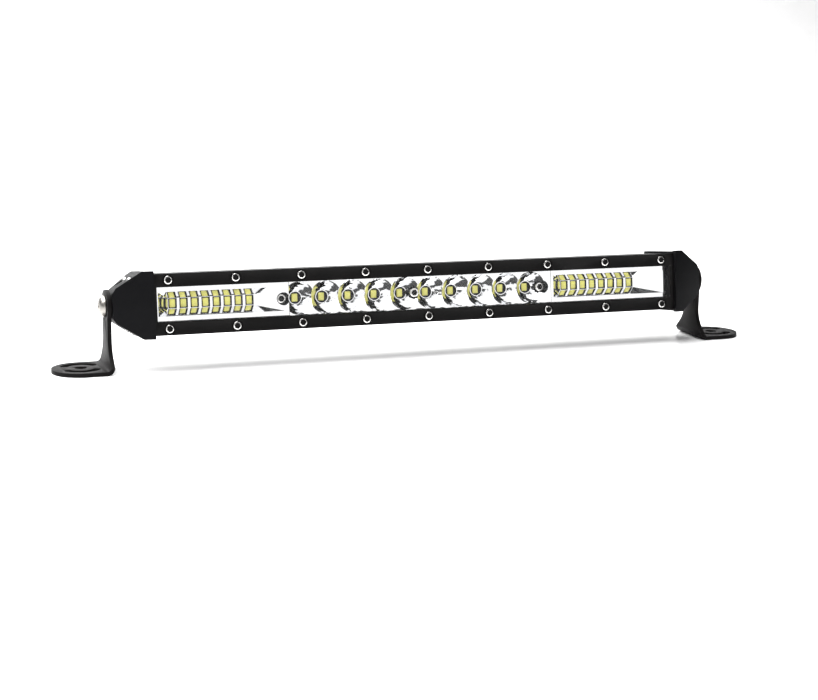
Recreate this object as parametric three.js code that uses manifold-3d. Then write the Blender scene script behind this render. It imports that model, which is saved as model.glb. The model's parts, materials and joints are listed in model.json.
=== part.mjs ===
// Slim single-row LED light bar on two fold-down feet.
// Millimetres, +Z up. The bar runs along X and its lamp face looks along -Y.
import * as THREE from 'three';
import { mergeVertices } from 'three/addons/utils/BufferGeometryUtils.js';
import Module from 'manifold-3d';

const wasm = await Module();
wasm.setup();

// ---- driving dimensions ----------------------------------------------------
const GAP = 0.3;                    // left between touching pieces
const LEAN = THREE.MathUtils.degToRad(7.5); // how far the bar leans back
const PIVOT_HEIGHT = 47.2;          // pivot axis above the feet's underside

const SCREW_PITCH = 50;             // bezel screws along X
const SCREWS_PER_ROW = 9;
const SCREW_ROW_Z = 17.6;

const BAR_END = 216.5;              // half length of the extruded housing
const BEZEL = { halfX: 213.5, halfZ: 22.3, front: -21, back: -17.5 };
const WINDOW = { halfX: 208.5, halfZ: 12.5 };
const COUNTERBORE = { r: 4, depth: 1.4 };
const CLEARANCE_R = 1.8;            // screw clearance holes
const HOLE_SIDES = 12;

const HOUSING = { halfZ: 22, front: -17.2, back: 24.7, seat: 0 };
const REBATE = { halfZ: 15.2, depth: -13.1 };
const TRAY_HALF_Z = 12.8;
const CHAMBER = { front: 3, back: 11, halfZ: 14 };
const FIN = { count: 7, root: 13.5, thickness: 2 };
const BOSS_CLEARING_R = 12;         // fins milled away round the gland and vent
const GLAND_X = 150;
const VENT_X = -150;
const WALL_HOLE_R = { gland: 6.2, vent: 4.2 };

const LENS = { halfX: 212, halfZ: 14.9, front: -17.2, back: -14.6 };
const GASKET = { halfX: 209, halfZ: 12.9, front: -14.3, back: -13.4 };

const REFLECTOR = { front: -14.2, back: -2.2, halfZ: 12.4 };
const BOARD = { front: -1.9, back: -0.3, halfZ: 12.4 };
const CHIP_FRONT = -2.6;
const MODULES = {
  flood_left: { from: -208.2, to: -108.3, firstChip: -193.3 },
  spot: { from: -108, to: 105.6, firstChip: -100.4 },
  flood_right: { from: 105.9, to: 208.2, firstChip: 122.6 },
};
const SPOT = { count: 10, pitch: 20.95, chip: { wide: 4.6, tall: 6 }, mouthR: 12.4, throatR: 4.6, well: 1.8 };
const FLOOD = { count: 8, pitch: 8.27, chip: { wide: 4.1, tall: 6 }, floorZ: 3.9, mouthZ: 9.3,
  hole: { wide: 6.4, tall: 7.4 } };
const REFLECTOR_SCREWS = { left: -112.6, middle: -7, right: 98.4 };
const REFLECTOR_SCREW = { headR: 3.5, headFront: -9.5, headHeight: 2.2, socketR: 2.2, shankR: 1.4, tip: 2.5 };
const BEZEL_SCREW = { headR: 2.9, head: 1.65, socketR: 1.9, shankR: 1.5, length: 10 };

const CAP = { inner: 211, outer: 239, halfZ: 24.5, noseZ: 11.3, shoulder: 218.7,
  front: -25, noseFront: -13.3, back: 27, noseBack: 10, floor: 218.1, lip: 4.5 };
const CAP_SLOPE_INSET = 1.8;        // slopes set back behind the front plate's lip
const NOSE_CHAMFER = 2.5;
const CAP_SCREW = { y: [-8, 9], z: 17.5, seat: 224.5, headR: 2.8, head: 2, socketR: 1.6, shankR: 1.5,
  tip: 206.5 };
const END_GASKET = { from: 216.8, to: 217.8, halfZ: 21.4, front: -17, back: 24 };

const BRACKET = { inner: 239.3, outer: 242.3, headR: 12, waist: 9.2, thickness: 3, bendR: 3,
  footR: 21, footX: 260.5, boltHoleR: 4.5, centreHoleR: 4.5, slotR: 13, slotHalf: 3, slotArc: 52 };
const FLARE = { bottom: 5, low: 9.5, high: 14, top: 26 }; // heights of the leg's flare
const BOLT = { headR: 7.9, head: 4.4, shankR: 4, tip: 226, socketR: 3 };
const BOLT_HOLE_R = 4.3;

// ---- geometry helpers ------------------------------------------------------
const X = new THREE.Vector3(1, 0, 0);
const Y = new THREE.Vector3(0, 1, 0);
const Z = new THREE.Vector3(0, 0, 1);

// Closed three.js geometry -> manifold solid, for cutting and joining.
function solid(geometry) {
  const bare = geometry.clone();
  bare.deleteAttribute('normal');
  bare.deleteAttribute('uv');
  const merged = mergeVertices(bare, 1e-4);
  return new wasm.Manifold(new wasm.Mesh({
    numProp: 3,
    vertProperties: new Float32Array(merged.attributes.position.array),
    triVerts: new Uint32Array(merged.index.array),
  }));
}

// Manifold solid -> flat-shaded three.js geometry.
function geometryOf(body) {
  const mesh = body.getMesh();
  const geometry = new THREE.BufferGeometry();
  geometry.setAttribute('position', new THREE.BufferAttribute(mesh.vertProperties, 3));
  geometry.setIndex(new THREE.BufferAttribute(mesh.triVerts, 1));
  const flat = geometry.toNonIndexed();
  flat.computeVertexNormals();
  return flat;
}

function cut(geometry, cutters) {
  const body = cutters.reduce((rest, cutter) => rest.subtract(solid(cutter)), solid(geometry));
  return geometryOf(body);
}

function join(geometries) {
  const [first, ...others] = geometries.map(solid);
  return geometryOf(others.reduce((sum, other) => sum.add(other), first));
}

function common(geometries) {
  const [first, ...others] = geometries.map(solid);
  return geometryOf(others.reduce((rest, other) => rest.intersect(other), first));
}

function outline(points) {
  return new THREE.Shape(points.map(([a, b]) => new THREE.Vector2(a, b)));
}

function rectangle(x0, y0, x1, y1) {
  return outline([[x0, y0], [x1, y0], [x1, y1], [x0, y1]]);
}

function extrude(shape, depth, segments = 8) {
  return new THREE.ExtrudeGeometry(shape, { depth, bevelEnabled: false, curveSegments: segments });
}

// A (y, z) section swept from x0 to x1.
function alongX(shape, x0, x1, segments) {
  const turn = new THREE.Matrix4().makeBasis(Y, Z, X).setPosition(x0, 0, 0);
  return extrude(shape, x1 - x0, segments).applyMatrix4(turn);
}

// An (x, z) section swept from y0 to y1.
function alongY(shape, y0, y1, segments) {
  const turn = new THREE.Matrix4().makeBasis(X, Z, Y.clone().negate()).setPosition(0, y1, 0);
  return extrude(shape, y1 - y0, segments).applyMatrix4(turn);
}

// An (x, y) section swept from z0 to z1.
function alongZ(shape, z0, z1, segments) {
  return extrude(shape, z1 - z0, segments).translate(0, 0, z0);
}

function block(x0, y0, z0, x1, y1, z1) {
  return new THREE.BoxGeometry(x1 - x0, y1 - y0, z1 - z0)
    .translate((x0 + x1) / 2, (y0 + y1) / 2, (z0 + z1) / 2);
}

// A round rod along Y, centred on (x, z).
function rodY(r, y0, y1, x = 0, z = 0, sides = HOLE_SIDES) {
  return new THREE.CylinderGeometry(r, r, y1 - y0, sides).translate(x, (y0 + y1) / 2, z);
}

// A round rod along X, centred on (y, z).
function rodX(r, x0, x1, y = 0, z = 0, sides = HOLE_SIDES) {
  return new THREE.CylinderGeometry(r, r, x1 - x0, sides)
    .rotateZ(-Math.PI / 2).translate((x0 + x1) / 2, y, z);
}

// A solid of revolution about Y: profile points are [radius, y], from the axis back to the axis.
function turned(profile, sides = 16) {
  const points = profile.map(([r, y]) => new THREE.Vector2(r, y));
  return new THREE.LatheGeometry(points, sides);
}

// The same piece on the other side of the bar.
function mirrored(geometry) {
  const flat = geometry.index ? geometry.toNonIndexed() : geometry.clone();
  const position = flat.attributes.position;
  for (let corner = 0; corner < position.count; corner += 3) {
    const [a, b, c] = [0, 1, 2].map((i) => new THREE.Vector3().fromBufferAttribute(position, corner + i));
    [a, c, b].forEach((p, i) => position.setXYZ(corner + i, -p.x, p.y, p.z));
  }
  flat.computeVertexNormals();
  return flat;
}

function piece(group, name, geometry, material, place = [0, 0, 0]) {
  const mesh = new THREE.Mesh(geometry, material.clone());
  mesh.name = name;
  mesh.position.set(...place);
  group.add(mesh);
  return mesh;
}

// ---- materials -------------------------------------------------------------
const finish = (color, roughness, metalness) =>
  new THREE.MeshStandardMaterial({ color, roughness, metalness });

const BLACK_ANODISED = finish(0x2b2a2b, 0.42, 0.6);
const BLACK_POWDER = finish(0x242324, 0.5, 0.3);
const STEEL = finish(0xc9c7c3, 0.25, 1);
const MIRROR = finish(0xe9e9ea, 0.06, 1);
const CLEAR = finish(0xf2f5f6, 0.05, 0);
const SILICONE = finish(0x3a3a3a, 0.8, 0);
const LED_BOARD = finish(0x1e1e1e, 0.5, 0);
const GREEN_BOARD = finish(0x1d4f2f, 0.5, 0);
const NYLON = finish(0x1b1b1c, 0.55, 0);

// ---- screw places ----------------------------------------------------------
const screwRowX = Array.from({ length: SCREWS_PER_ROW },
  (_, i) => (i - (SCREWS_PER_ROW - 1) / 2) * SCREW_PITCH);
const bezelScrewPlaces = [1, -1].flatMap((side) => screwRowX.map((x) => [x, side * SCREW_ROW_Z]));
const capScrewPlaces = CAP_SCREW.y.flatMap((y) => [1, -1].map((side) => [y, side * CAP_SCREW.z]));

// ---- housing: one aluminium extrusion, fins behind, tray in front ------------
function housingSection() {
  const { halfZ, front, back, seat } = HOUSING;
  const pitch = (2 * halfZ - FIN.thickness) / (FIN.count - 1);
  const points = [[front, halfZ]];
  for (let i = 0; i < FIN.count; i++) {
    const top = halfZ - i * pitch;
    const bottom = top - FIN.thickness;
    if (i > 0) points.push([FIN.root, top]);
    points.push([back, top], [back, bottom]);
    if (i < FIN.count - 1) points.push([FIN.root, bottom]);
  }
  points.push([front, -halfZ], [front, -REBATE.halfZ], [REBATE.depth, -REBATE.halfZ],
    [REBATE.depth, -TRAY_HALF_Z], [seat, -TRAY_HALF_Z], [seat, TRAY_HALF_Z],
    [REBATE.depth, TRAY_HALF_Z], [REBATE.depth, REBATE.halfZ], [front, REBATE.halfZ]);
  const section = outline(points.reverse());
  const { front: near, back: far, halfZ: half } = CHAMBER;
  section.holes.push(rectangle(near, -half, far, half));
  return section;
}

function housing() {
  const screwHoles = bezelScrewPlaces.map(([x, z]) => rodY(CLEARANCE_R, HOUSING.front - 1, -7.5, x, z, 8));
  const capHoles = [1, -1].flatMap((side) => capScrewPlaces.map(([y, z]) => {
    const [from, to] = [side * (BAR_END + 1), side * (CAP_SCREW.tip - 1)].sort((a, b) => a - b);
    return rodX(CLEARANCE_R, from, to, y, z, 8);
  }));
  const reflectorHoles = Object.values(REFLECTOR_SCREWS)
    .map((x) => rodY(CLEARANCE_R, -1, CHAMBER.front + 1, x, 0, 8));
  const wireHoles = [MODULES.flood_left, MODULES.flood_right]
    .map((module) => rodY(3, -1, CHAMBER.front + 1, (module.from + module.to) / 2, -8, 8));
  const backHoles = [[GLAND_X, WALL_HOLE_R.gland], [VENT_X, WALL_HOLE_R.vent]].flatMap(([x, r]) => [
    rodY(BOSS_CLEARING_R, FIN.root, HOUSING.back + 1, x, 0, 24),
    rodY(r, CHAMBER.back - 1, FIN.root + 1, x, 0, 16),
  ]);
  return cut(alongX(housingSection(), -BAR_END, BAR_END),
    [...screwHoles, ...capHoles, ...reflectorHoles, ...wireHoles, ...backHoles]);
}

// ---- front bezel, lens and seal ----------------------------------------------
function frontBezel() {
  const frame = rectangle(-BEZEL.halfX, -BEZEL.halfZ, BEZEL.halfX, BEZEL.halfZ);
  frame.holes.push(rectangle(-WINDOW.halfX, -WINDOW.halfZ, WINDOW.halfX, WINDOW.halfZ));
  const holes = bezelScrewPlaces.flatMap(([x, z]) => [
    rodY(CLEARANCE_R, BEZEL.front - 1, BEZEL.back + 1, x, z, 8),
    rodY(COUNTERBORE.r, BEZEL.front - 1, BEZEL.front + COUNTERBORE.depth, x, z),
  ]);
  return cut(alongY(frame, BEZEL.front, BEZEL.back), holes);
}

function lensCover() {
  const { halfX, halfZ, front, back } = LENS;
  return block(-halfX, front, -halfZ, halfX, back, halfZ);
}

function lensGasket() {
  const ring = rectangle(-LENS.halfX, -LENS.halfZ, LENS.halfX, LENS.halfZ);
  ring.holes.push(rectangle(-GASKET.halfX, -GASKET.halfZ, GASKET.halfX, GASKET.halfZ));
  return alongY(ring, GASKET.front, GASKET.back);
}

// A button-head screw lying along Y, head towards -Y, with a hexagon socket. Head seat at y = 0.
function buttonScrew(headR, head, shankR, length, socketR) {
  const body = turned([[0, -head], [headR * 0.74, -head], [headR, -head * 0.35], [headR, 0],
    [shankR, 0], [shankR, length], [0, length]], HOLE_SIDES);
  return cut(body, [rodY(socketR, -head - 1, -head * 0.35, 0, 0, 6)]);
}

// ---- reflectors ----------------------------------------------------------------
function reflectorScrewHole(x) {
  const { headR, headFront, headHeight, shankR } = REFLECTOR_SCREW;
  return [
    rodY(headR + 0.4, REFLECTOR.front - 1, headFront + headHeight + GAP, x, 0, 16),
    rodY(shankR + GAP, REFLECTOR.front - 1, REFLECTOR.back + 1, x, 0, 8),
  ];
}

function spotChipX() {
  return Array.from({ length: SPOT.count }, (_, i) => MODULES.spot.firstChip + i * SPOT.pitch);
}

function floodChipX(module) {
  return Array.from({ length: FLOOD.count }, (_, i) => module.firstChip + i * FLOOD.pitch);
}

// One parabolic cup over a short straight well round its chip, as the solid to take away.
function cupCutter(x) {
  const throatY = REFLECTOR.back - SPOT.well;
  const depth = throatY - REFLECTOR.front;
  const profile = [[0, REFLECTOR.back + 1], [SPOT.throatR, REFLECTOR.back + 1]];
  const steps = 4;
  for (let i = 0; i <= steps; i++) {
    const t = i / steps;
    const r = Math.sqrt(THREE.MathUtils.lerp(SPOT.throatR ** 2, SPOT.mouthR ** 2, t));
    profile.push([r, throatY - depth * t]);
  }
  profile.push([SPOT.mouthR, REFLECTOR.front - 1], [0, REFLECTOR.front - 1]);
  return turned(profile.reverse(), 16).translate(x, 0, 0);
}

function spotReflector() {
  const { from, to } = MODULES.spot;
  const plate = block(from, REFLECTOR.front, -REFLECTOR.halfZ - GAP,
    to, REFLECTOR.back, REFLECTOR.halfZ + GAP);
  const screws = [REFLECTOR_SCREWS.middle, REFLECTOR_SCREWS.right].flatMap(reflectorScrewHole);
  return cut(plate, [...spotChipX().map(cupCutter), ...screws]);
}

// The hollow of a flood trough: a flat floor along the chips, opening to the front on four slopes.
function troughCutter(module) {
  const chips = floodChipX(module);
  const margin = FLOOD.chip.wide / 2 + 1.5;
  const floorY = REFLECTOR.back - 0.9;
  const mouthY = REFLECTOR.front - 1;
  const floor = [chips[0] - margin, chips.at(-1) + margin, FLOOD.floorZ];
  const mouth = [module.from + 1, module.to - 1, FLOOD.mouthZ];
  const ring = ([x0, x1, z], y) => [[x0, y, -z], [x0, y, z], [x1, y, z], [x1, y, -z]];
  const corners = [...ring(floor, floorY), ...ring(mouth, mouthY)].flat();
  const faces = [0, 1, 2, 0, 2, 3, 4, 6, 5, 4, 7, 6,
    0, 4, 5, 0, 5, 1, 1, 5, 6, 1, 6, 2, 2, 6, 7, 2, 7, 3, 3, 7, 4, 3, 4, 0];
  const hollow = new THREE.BufferGeometry();
  hollow.setAttribute('position', new THREE.Float32BufferAttribute(corners, 3));
  hollow.setIndex(faces);
  return hollow;
}

function floodReflector(module, screwX = []) {
  const plate = block(module.from, REFLECTOR.front, -REFLECTOR.halfZ - GAP,
    module.to, REFLECTOR.back, REFLECTOR.halfZ + GAP);
  const [halfX, halfZ] = [FLOOD.hole.wide / 2, FLOOD.hole.tall / 2];
  const windows = floodChipX(module).map((x) =>
    block(x - halfX, REFLECTOR.back - 2, -halfZ, x + halfX, REFLECTOR.back + 1, halfZ));
  return cut(plate, [troughCutter(module), ...windows, ...screwX.flatMap(reflectorScrewHole)]);
}

// ---- circuit boards --------------------------------------------------------------
function ledBoard(module, chipX, chip, screwX = []) {
  const [halfX, halfZ] = [chip.wide / 2, chip.tall / 2];
  const plate = block(module.from, BOARD.front, -BOARD.halfZ, module.to, BOARD.back, BOARD.halfZ);
  const chips = chipX.map((x) => block(x - halfX, CHIP_FRONT, -halfZ, x + halfX, BOARD.front + 0.1, halfZ));
  const holes = screwX.map((x) => rodY(1.8, BOARD.front - 1, BOARD.back + 1, x, 0, 8));
  return cut(join([plate, ...chips]), holes);
}

function driverBoard() {
  const board = block(-130, CHAMBER.front + 0.5, -13.4, 110, CHAMBER.front + 2.1, 13.4);
  const top = CHAMBER.front + 2;
  const coils = [-80, 20].map((x) => rodY(5.5, top, top + 5.2, x, 3, 12));
  const capacitors = [-105, -50, 60].map((x) => rodY(4, top, top + 5.2, x, -6, 10));
  const chips = [-20, 85].map((x) => block(x - 6, top, -4, x + 6, top + 2, 6));
  return join([board, ...coils, ...capacitors, ...chips]);
}

// ---- gland and vent, on the back --------------------------------------------------
function glandBody() {
  const flange = rodY(9.6, FIN.root + GAP, FIN.root + 4.3, 0, 0, 6);
  const collar = rodY(5.8, CHAMBER.back + 0.3, FIN.root + 11, 0, 0, 16);
  return cut(join([flange, collar]), [rodY(3.9, CHAMBER.back - 1, FIN.root + 12)]);
}

function glandNut() {
  const nut = turned([[0, FIN.root + 4.6], [8.6, FIN.root + 4.6], [8.6, FIN.root + 10.5],
    [6.4, FIN.root + 13.2], [0, FIN.root + 13.2]], 12);
  return cut(nut, [
    rodY(6.1, FIN.root + 4, FIN.root + 11.3, 0, 0, 16),
    rodY(4.1, FIN.root + 4, FIN.root + 14),
  ]);
}

function glandPlug() {
  return rodY(3.6, CHAMBER.back + 1, FIN.root + 14.2);
}

function breatherVent() {
  const head = turned([[0, FIN.root + GAP], [6.5, FIN.root + GAP], [6.5, FIN.root + 3], [5.6, FIN.root + 4],
    [0, FIN.root + 4]], 12);
  return join([head, rodY(3.9, CHAMBER.back + 0.3, FIN.root + 1)]);
}

// ---- end cap: a cast cover that the bar's end slides into ---------------------------
function capOutline(inset) {
  const { inner, outer, halfZ, noseZ, shoulder } = CAP;
  const [side, nose, bend] = [halfZ - inset * 0.4, noseZ - inset * 0.6, shoulder - inset];
  const upper = [[outer, nose - NOSE_CHAMFER], [outer - NOSE_CHAMFER, nose + NOSE_CHAMFER * 0.6],
    [bend, side], [inner, side]];
  return outline([...upper.map(([x, z]) => [x, -z]).reverse(), ...upper]);
}

// The part of the cap's outline that lies between two lines of a plan, seen from above.
function capLayer(inset, plan) {
  const { halfZ, front, back } = CAP;
  const slab = alongY(capOutline(inset), front - 1, back + 1);
  return common([slab, alongZ(outline(plan), -halfZ - 1, halfZ + 1)]);
}

function endCap() {
  const { inner, outer, shoulder, front, noseFront, back, noseBack, lip } = CAP;
  const plate = capLayer(0,
    [[inner, front], [outer, noseFront], [outer, noseFront + lip], [inner, front + lip]]);
  const body = capLayer(CAP_SLOPE_INSET, [[inner, front + lip - 0.1], [outer, noseFront + lip - 0.1],
    [outer, noseBack], [shoulder + 2, back], [inner, back]]);
  const barPocket = block(inner - 1, HOUSING.front - GAP, -BEZEL.halfZ - GAP, CAP.floor, HOUSING.back + GAP,
    BEZEL.halfZ + GAP);
  const bezelPocket = block(inner - 1, BEZEL.front - GAP, -BEZEL.halfZ - GAP, BEZEL.halfX + GAP,
    HOUSING.front, BEZEL.halfZ + GAP);
  const screws = capScrewPlaces.flatMap(([y, z]) => [
    rodX(CLEARANCE_R, CAP.floor - 1, CAP_SCREW.seat + 1, y, z, 8),
    rodX(CAP_SCREW.headR + 0.7, CAP_SCREW.seat, outer + 1, y, z),
  ]);
  const boltHole = rodX(BOLT_HOLE_R, BOLT.tip - 2, outer + 1, 0, 0, 20);
  return cut(join([plate, body]), [barPocket, bezelPocket, boltHole, ...screws]);
}

function endGasket() {
  const { from, to, halfZ, front, back } = END_GASKET;
  const holes = capScrewPlaces.map(([y, z]) => rodX(CLEARANCE_R, from - 1, to + 1, y, z, 8));
  const middle = block(from - 1, CHAMBER.front, -CHAMBER.halfZ, to + 1, CHAMBER.back, CHAMBER.halfZ);
  return cut(block(from, front, -halfZ, to, back, halfZ), [middle, ...holes]);
}

// A screw along X, head towards +X, seated at x = 0.
function capScrew() {
  const { headR, head, socketR, shankR, seat, tip } = CAP_SCREW;
  return buttonScrew(headR, head, shankR, seat - tip, socketR).rotateZ(Math.PI / 2);
}

// ---- pivot hardware and bracket ------------------------------------------------------
function pivotBolt() {
  const { headR, head, socketR, shankR, tip } = BOLT;
  const seat = BRACKET.outer + GAP;
  const body = turned([[0, -head], [headR * 0.45, -head], [headR * 0.82, -head * 0.72], [headR, -head * 0.2],
    [headR, 0], [shankR, 0], [shankR, seat - tip], [0, seat - tip]], 20);
  return cut(body, [rodY(socketR, -head - 1, -head * 0.35, 0, 0, 6)])
    .rotateZ(Math.PI / 2).translate(seat, 0, 0);
}

// Leg seen along X: a round head on a narrow waist that flares to the foot's full width.
function legOutline() {
  const { headR, waist, footR } = BRACKET;
  const neck = PIVOT_HEIGHT - Math.sqrt(headR ** 2 - waist ** 2);
  const meet = Math.acos(waist / headR);
  const shape = new THREE.Shape();
  shape.moveTo(-footR, 0);
  shape.lineTo(footR, 0);
  shape.lineTo(footR, FLARE.bottom);
  shape.bezierCurveTo(footR - 4, FLARE.low, waist, FLARE.high, waist, FLARE.top);
  shape.lineTo(waist, neck);
  shape.absarc(0, PIVOT_HEIGHT, headR, -meet, Math.PI + meet, false);
  shape.lineTo(-waist, FLARE.top);
  shape.bezierCurveTo(-waist, FLARE.high, -footR + 4, FLARE.low, -footR, FLARE.bottom);
  return shape;
}

// Foot seen from above: straight from the bend, ending in a half circle.
function footOutline() {
  const { inner, footR, footX, centreHoleR } = BRACKET;
  const shape = new THREE.Shape();
  shape.moveTo(inner - 1, -footR);
  shape.lineTo(footX, -footR);
  shape.absarc(footX, 0, footR, -Math.PI / 2, Math.PI / 2, false);
  shape.lineTo(inner - 1, footR);
  const hole = new THREE.Path();
  hole.absarc(footX, 0, centreHoleR, 0, 2 * Math.PI, false);
  shape.holes.push(hole, arcSlot(Math.PI / 2), arcSlot(-Math.PI / 2));
  return shape;
}

// A slot bent round the centre hole, with round ends.
function arcSlot(middle) {
  const { footX, slotR, slotHalf, slotArc } = BRACKET;
  const reach = THREE.MathUtils.degToRad(slotArc);
  const end = (angle) => [footX + slotR * Math.cos(angle), slotR * Math.sin(angle)];
  const [from, to] = [middle - reach, middle + reach];
  const slot = new THREE.Path();
  slot.absarc(footX, 0, slotR + slotHalf, from, to, false);
  slot.absarc(...end(to), slotHalf, to, to + Math.PI, false);
  slot.absarc(footX, 0, slotR - slotHalf, to, from, true);
  slot.absarc(...end(from), slotHalf, from + Math.PI, from + 2 * Math.PI, false);
  return slot;
}

// The bent sheet seen along Y: leg, bend and foot.
function bendSection() {
  const { inner, outer, thickness, bendR, footR, footX } = BRACKET;
  const top = PIVOT_HEIGHT + BRACKET.headR + 1;
  const toe = footX + footR + 1;
  const shape = new THREE.Shape();
  shape.moveTo(inner, top);
  shape.lineTo(inner, thickness + bendR);
  shape.absarc(outer + bendR, thickness + bendR, thickness + bendR, Math.PI, 1.5 * Math.PI, false);
  shape.lineTo(toe, 0);
  shape.lineTo(toe, thickness);
  shape.lineTo(outer + bendR, thickness);
  shape.absarc(outer + bendR, thickness + bendR, bendR, 1.5 * Math.PI, Math.PI, true);
  shape.lineTo(outer, top);
  return shape;
}

function bracket() {
  const { inner, outer, footR, footX, boltHoleR } = BRACKET;
  const sheet = alongY(bendSection(), -footR - 1, footR + 1, 4);
  const leg = alongX(legOutline(), inner - 1, footX + footR + 2, 8);
  const foot = alongZ(footOutline(), -1, PIVOT_HEIGHT + BRACKET.headR + 2, 8);
  const boltHole = rodX(boltHoleR, inner - 1, outer + 1, 0, PIVOT_HEIGHT, 20);
  return cut(common([sheet, leg, foot]), [boltHole]);
}

// ---- assembly ------------------------------------------------------------------------
const lightBar = new THREE.Group();
const bar = new THREE.Group();
bar.position.z = PIVOT_HEIGHT;
bar.rotation.x = -LEAN;
lightBar.add(bar);

piece(bar, 'housing', housing(), BLACK_ANODISED);
piece(bar, 'front_bezel', frontBezel(), BLACK_ANODISED);
piece(bar, 'lens_cover', lensCover(), CLEAR);
piece(bar, 'lens_gasket', lensGasket(), SILICONE);

const bezelScrew = buttonScrew(BEZEL_SCREW.headR, BEZEL_SCREW.head, BEZEL_SCREW.shankR, BEZEL_SCREW.length,
  BEZEL_SCREW.socketR);
bezelScrewPlaces.forEach(([x, z], i) => {
  const row = z > 0 ? 'top' : 'bottom';
  const seat = BEZEL.front + COUNTERBORE.depth - GAP;
  piece(bar, `bezel_screw_${row}_${(i % SCREWS_PER_ROW) + 1}`, bezelScrew, STEEL, [x, seat, z]);
});

const { left, middle, right } = REFLECTOR_SCREWS;
piece(bar, 'flood_reflector_left', floodReflector(MODULES.flood_left, [left]), MIRROR);
piece(bar, 'spot_reflector', spotReflector(), MIRROR);
piece(bar, 'flood_reflector_right', floodReflector(MODULES.flood_right), MIRROR);
piece(bar, 'flood_led_board_left',
  ledBoard(MODULES.flood_left, floodChipX(MODULES.flood_left), FLOOD.chip, [left]), LED_BOARD);
piece(bar, 'spot_led_board', ledBoard(MODULES.spot, spotChipX(), SPOT.chip, [middle, right]), LED_BOARD);
piece(bar, 'flood_led_board_right',
  ledBoard(MODULES.flood_right, floodChipX(MODULES.flood_right), FLOOD.chip), LED_BOARD);

const { headR, headHeight, headFront, socketR, shankR, tip } = REFLECTOR_SCREW;
const reflectorScrew = buttonScrew(headR, headHeight, shankR, tip - headFront - headHeight, socketR);
Object.entries(REFLECTOR_SCREWS).forEach(([side, x]) => {
  piece(bar, `reflector_screw_${side}`, reflectorScrew, STEEL, [x, headFront + headHeight, 0]);
});

piece(bar, 'driver_board', driverBoard(), GREEN_BOARD);
piece(bar, 'cable_gland_body', glandBody(), NYLON, [GLAND_X, 0, 0]);
piece(bar, 'cable_gland_nut', glandNut(), NYLON, [GLAND_X, 0, 0]);
piece(bar, 'cable_gland_plug', glandPlug(), SILICONE, [GLAND_X, 0, 0]);
piece(bar, 'breather_vent', breatherVent(), NYLON, [VENT_X, 0, 0]);

const sides = { left: mirrored, right: (geometry) => geometry };
const [cap, gasket, bolt, foot] = [endCap(), endGasket(), pivotBolt(), bracket()];
const capBolt = capScrew();
Object.entries(sides).forEach(([side, turn]) => {
  const sign = side === 'left' ? -1 : 1;
  piece(bar, `${side}_end_cap`, turn(cap), BLACK_POWDER);
  piece(bar, `${side}_end_gasket`, turn(gasket), SILICONE);
  capScrewPlaces.forEach(([y, z], i) => {
    const place = [sign * (CAP_SCREW.seat + GAP), y, z];
    piece(bar, `${side}_cap_screw_${i + 1}`, turn(capBolt), STEEL, place);
  });
  piece(bar, `${side}_pivot_bolt`, turn(bolt), STEEL);
  piece(lightBar, `${side}_bracket`, turn(foot), BLACK_POWDER);
});

// The row's origin is under the middle of the whole object.
const extent = new THREE.Box3().setFromObject(lightBar, true);
lightBar.position.y = -(extent.min.y + extent.max.y) / 2;

export default lightBar;
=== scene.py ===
"""Looks for the LED light bar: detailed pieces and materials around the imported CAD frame.

Pieces are modelled in millimetres, then placed in the row frame in metres. The bar's own
pieces use the bar's frame: origin on the pivot axis at mid length, lamp face towards -Y.
"""

import json
from math import acos, cos, hypot, pi, radians, sin, sqrt

import bmesh
import bpy
from mathutils import Matrix, Vector


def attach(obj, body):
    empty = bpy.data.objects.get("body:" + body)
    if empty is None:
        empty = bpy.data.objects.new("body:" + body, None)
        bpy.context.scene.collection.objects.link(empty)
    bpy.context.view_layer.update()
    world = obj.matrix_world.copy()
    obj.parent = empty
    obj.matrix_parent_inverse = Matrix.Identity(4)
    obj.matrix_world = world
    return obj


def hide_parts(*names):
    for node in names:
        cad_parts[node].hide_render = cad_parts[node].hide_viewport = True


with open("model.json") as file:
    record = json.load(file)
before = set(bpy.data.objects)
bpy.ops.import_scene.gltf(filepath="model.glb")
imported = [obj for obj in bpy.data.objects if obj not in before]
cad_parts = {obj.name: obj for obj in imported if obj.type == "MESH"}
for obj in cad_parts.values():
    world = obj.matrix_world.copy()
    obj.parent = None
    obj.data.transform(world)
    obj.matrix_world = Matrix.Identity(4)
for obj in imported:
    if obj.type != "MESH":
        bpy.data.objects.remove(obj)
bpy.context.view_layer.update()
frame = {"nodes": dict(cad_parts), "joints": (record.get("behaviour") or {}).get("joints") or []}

# ---- shared dimensions, in millimetres --------------------------------------------
MM = 0.001
LEAN = radians(7.5)                     # the bar leans back on its feet
PIVOT = Vector(frame["joints"][0]["pos_m"])
BAR = (Matrix.Translation((0, PIVOT.y, PIVOT.z)) @ Matrix.Rotation(-LEAN, 4, "X")
       @ Matrix.Scale(MM, 4))           # bar frame -> row frame
STAND = Matrix.Translation((0, PIVOT.y, 0)) @ Matrix.Scale(MM, 4)   # feet stand upright
PIVOT_HEIGHT = PIVOT.z / MM

SCREW_PITCH = 50
SCREWS_PER_ROW = 9
SCREW_ROW_Z = 17.6
BEZEL_FRONT, BEZEL_BACK = -21, -17.5
BEZEL_HALF_X, BEZEL_HALF_Z = 213.5, 22.3
WINDOW_HALF_X, WINDOW_HALF_Z = 208.5, 12.5
COUNTERBORE_R, COUNTERBORE_DEPTH = 4.0, 1.4
CLEARANCE_R = 1.8                       # screw clearance holes
SEAT_GAP = 0.3                          # screw and bolt heads stand this far off their seats
LENS_FRONT, LENS_BACK, LENS_HALF_X, LENS_HALF_Z = -17.2, -14.6, 212, 14.9

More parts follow.
